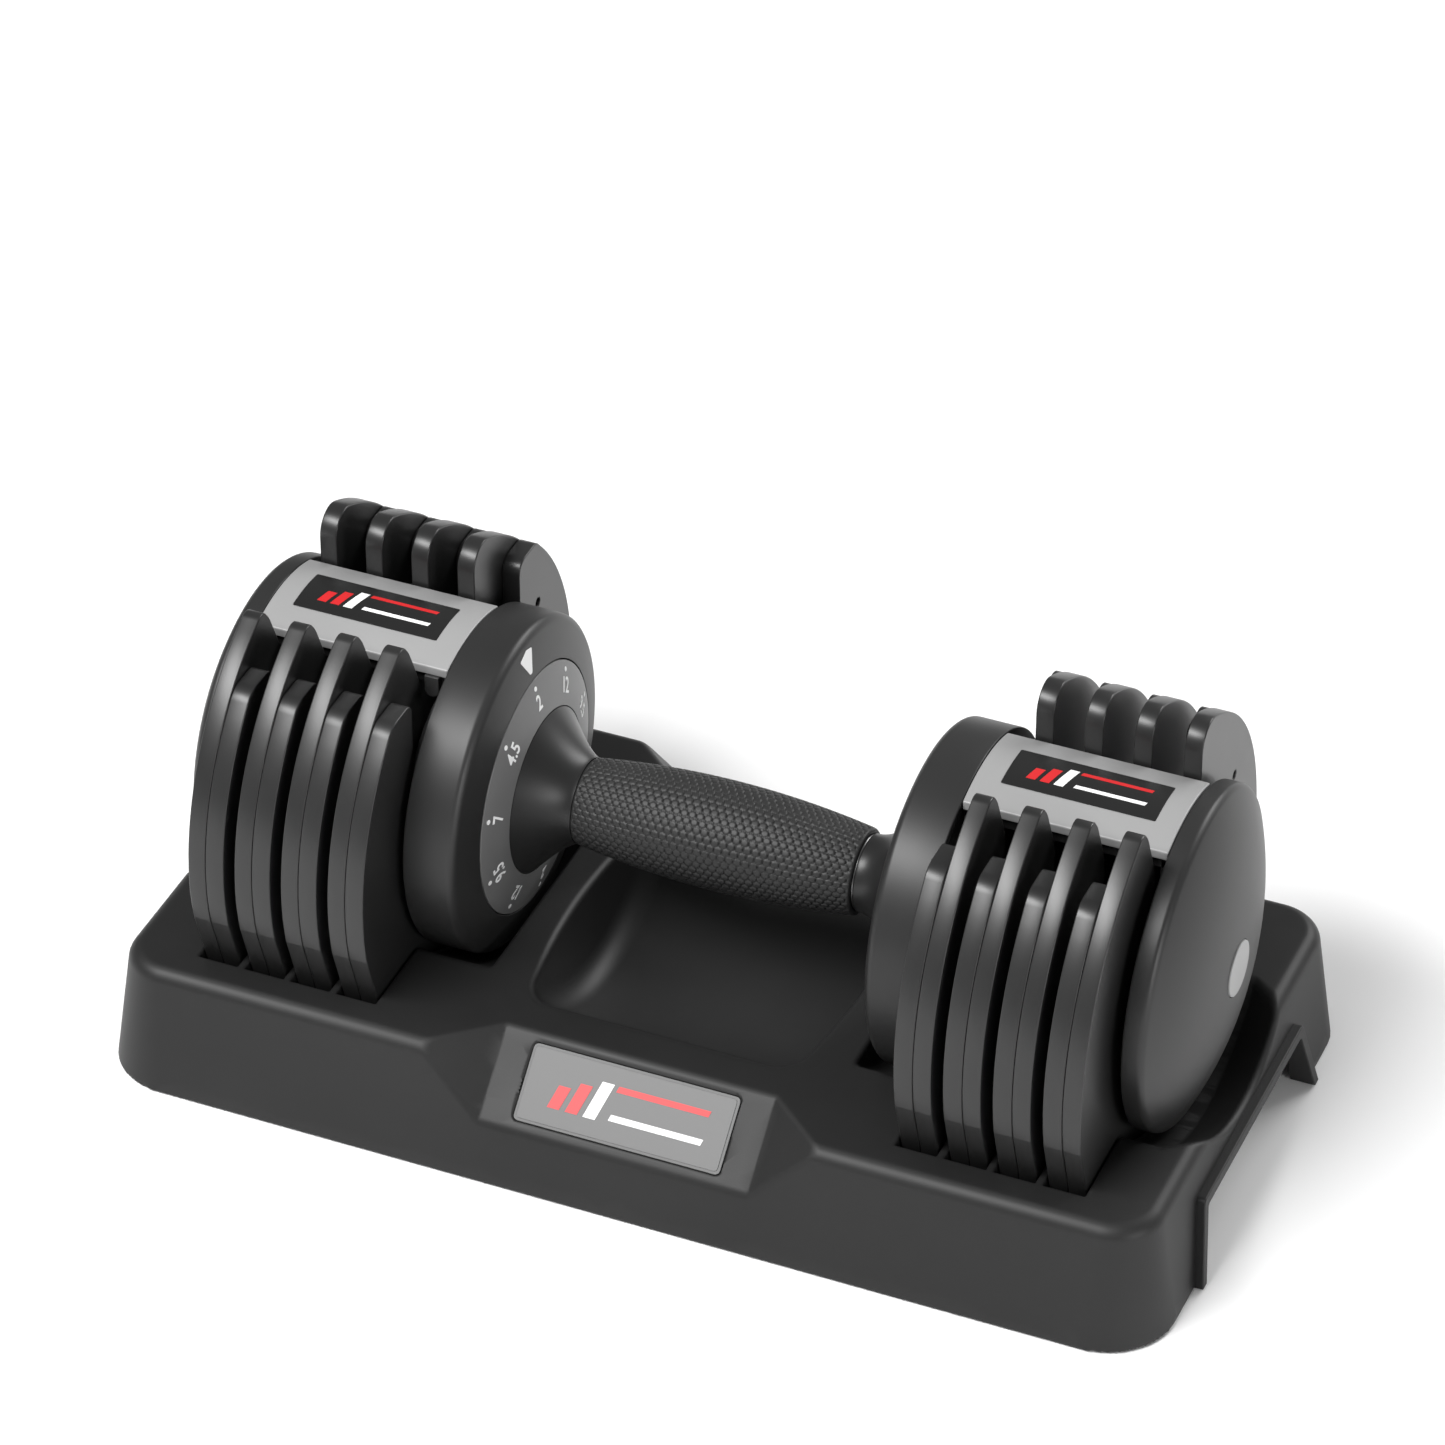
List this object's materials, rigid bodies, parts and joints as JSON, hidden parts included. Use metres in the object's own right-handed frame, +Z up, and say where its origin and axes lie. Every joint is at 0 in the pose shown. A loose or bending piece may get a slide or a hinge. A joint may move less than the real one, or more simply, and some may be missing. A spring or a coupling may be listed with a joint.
{
  "type": "adjustable dumbbell",
  "caption": "Adjustable dumbbell with a turning dial grip and stacked steel plates, resting in a moulded storage tray.",
  "frame": {"origin": "middle of the tray's underside, on the floor", "axes": "+X along the dumbbell's handle, towards the end without the dial; +Y to the back; +Z up"},
  "size_m": [0.373, 0.194, 0.1557],
  "materials": {
    "tray_plastic": "fine moulded texture",
    "foot_rubber": "matte",
    "badge_metal": "satin, dark stripe",
    "plate_steel": "dark grey powder coat",
    "pin_steel": "turned",
    "cam_plastic": "plain",
    "disc_plastic": "satin",
    "cap_plastic": "satin",
    "cover_silver": "satin silver",
    "label_black": "smooth",
    "bushing_brass": "turned",
    "mark_white": "printed",
    "grip_rubber": "fine raised dot pattern",
    "core_aluminium": "tube",
    "dial_grey": "satin with white numbers"
  },
  "bodies": {
    "tray": {"tray_shell": "tray_plastic", "tray_feet": "foot_rubber", "front_badge": "badge_metal", "back_badge": "badge_metal"},
    "plates_4": {"tall_layer_4_left": "plate_steel", "tall_layer_4_right": "plate_steel", "short_layer_4_left": "plate_steel", "short_layer_4_right": "plate_steel", "plate_pins_4": "pin_steel"},
    "plates_3": {"tall_layer_3_left": "plate_steel", "tall_layer_3_right": "plate_steel", "short_layer_3_left": "plate_steel", "short_layer_3_right": "plate_steel", "plate_pins_3": "pin_steel"},
    "plates_2": {"tall_layer_2_left": "plate_steel", "tall_layer_2_right": "plate_steel", "short_layer_2_left": "plate_steel", "short_layer_2_right": "plate_steel", "plate_pins_2": "pin_steel"},
    "plates_1": {"tall_layer_1_left": "plate_steel", "tall_layer_1_right": "plate_steel", "short_layer_1_left": "plate_steel", "short_layer_1_right": "plate_steel", "plate_pins_1": "pin_steel"},
    "handle_frame": {"inner_disc_left": "disc_plastic", "inner_back_left": "disc_plastic", "outer_disc_left": "disc_plastic", "outer_back_left": "disc_plastic", "end_cap_left": "cap_plastic", "bridge_left": "disc_plastic", "bridge_cover_left": "cover_silver", "cover_label_left": "label_black", "inner_disc_right": "disc_plastic", "inner_back_right": "disc_plastic", "outer_disc_right": "disc_plastic", "outer_back_right": "disc_plastic", "end_cap_right": "cap_plastic", "bridge_right": "disc_plastic", "bridge_cover_right": "cover_silver", "cover_label_right": "label_black", "bushings": "bushing_brass", "bridge_screws": "pin_steel", "disc_screws": "pin_steel", "pointer_mark": "mark_white", "detent_ball": "pin_steel", "detent_spring": "pin_steel", "lock_spring": "pin_steel"},
    "rotor": {"grip_sleeve": "grip_rubber", "grip_core": "core_aluminium", "drive_shaft": "pin_steel", "dial_hub": "disc_plastic", "dial_ring": "dial_grey", "lock_wheel": "pin_steel", "grip_collar": "disc_plastic", "shaft_nuts": "pin_steel", "selector_cams_1": "cam_plastic", "selector_cams_2": "cam_plastic", "selector_cams_3": "cam_plastic", "selector_cams_4": "cam_plastic"},
    "lock_pin": {"lock_pin": "pin_steel"}
  },
  "joints": [
    {"name": "lift_12kg", "type": "slide", "parent": "tray", "child": "plates_4", "axis": [0, 0, 1], "range_m": [0, 0.12]},
    {"name": "lift_9_5kg", "type": "slide", "parent": "plates_4", "child": "plates_3", "axis": [0, 0, 1], "range_m": [0, 0.12]},
    {"name": "lift_7kg", "type": "slide", "parent": "plates_3", "child": "plates_2", "axis": [0, 0, 1], "range_m": [0, 0.12]},
    {"name": "lift_4_5kg", "type": "slide", "parent": "plates_2", "child": "plates_1", "axis": [0, 0, 1], "range_m": [0, 0.12]},
    {"name": "lift_2kg", "type": "slide", "parent": "plates_1", "child": "handle_frame", "axis": [0, 0, 1], "range_m": [0, 0.12]},
    {"name": "dial_turn", "type": "hinge", "parent": "handle_frame", "child": "rotor", "pos_m": [0, 0, 0.085], "axis": [1, 0, 0], "continuous": true},
    {"name": "lock_pin_drop", "type": "slide", "parent": "handle_frame", "child": "lock_pin", "axis": [0, 0, -1], "range_m": [0, 0.004]}
  ],
  "couplings": [
    {"joint": "lock_pin_drop", "follows": "lift_2kg", "ratio": 0.033333}
  ]
}
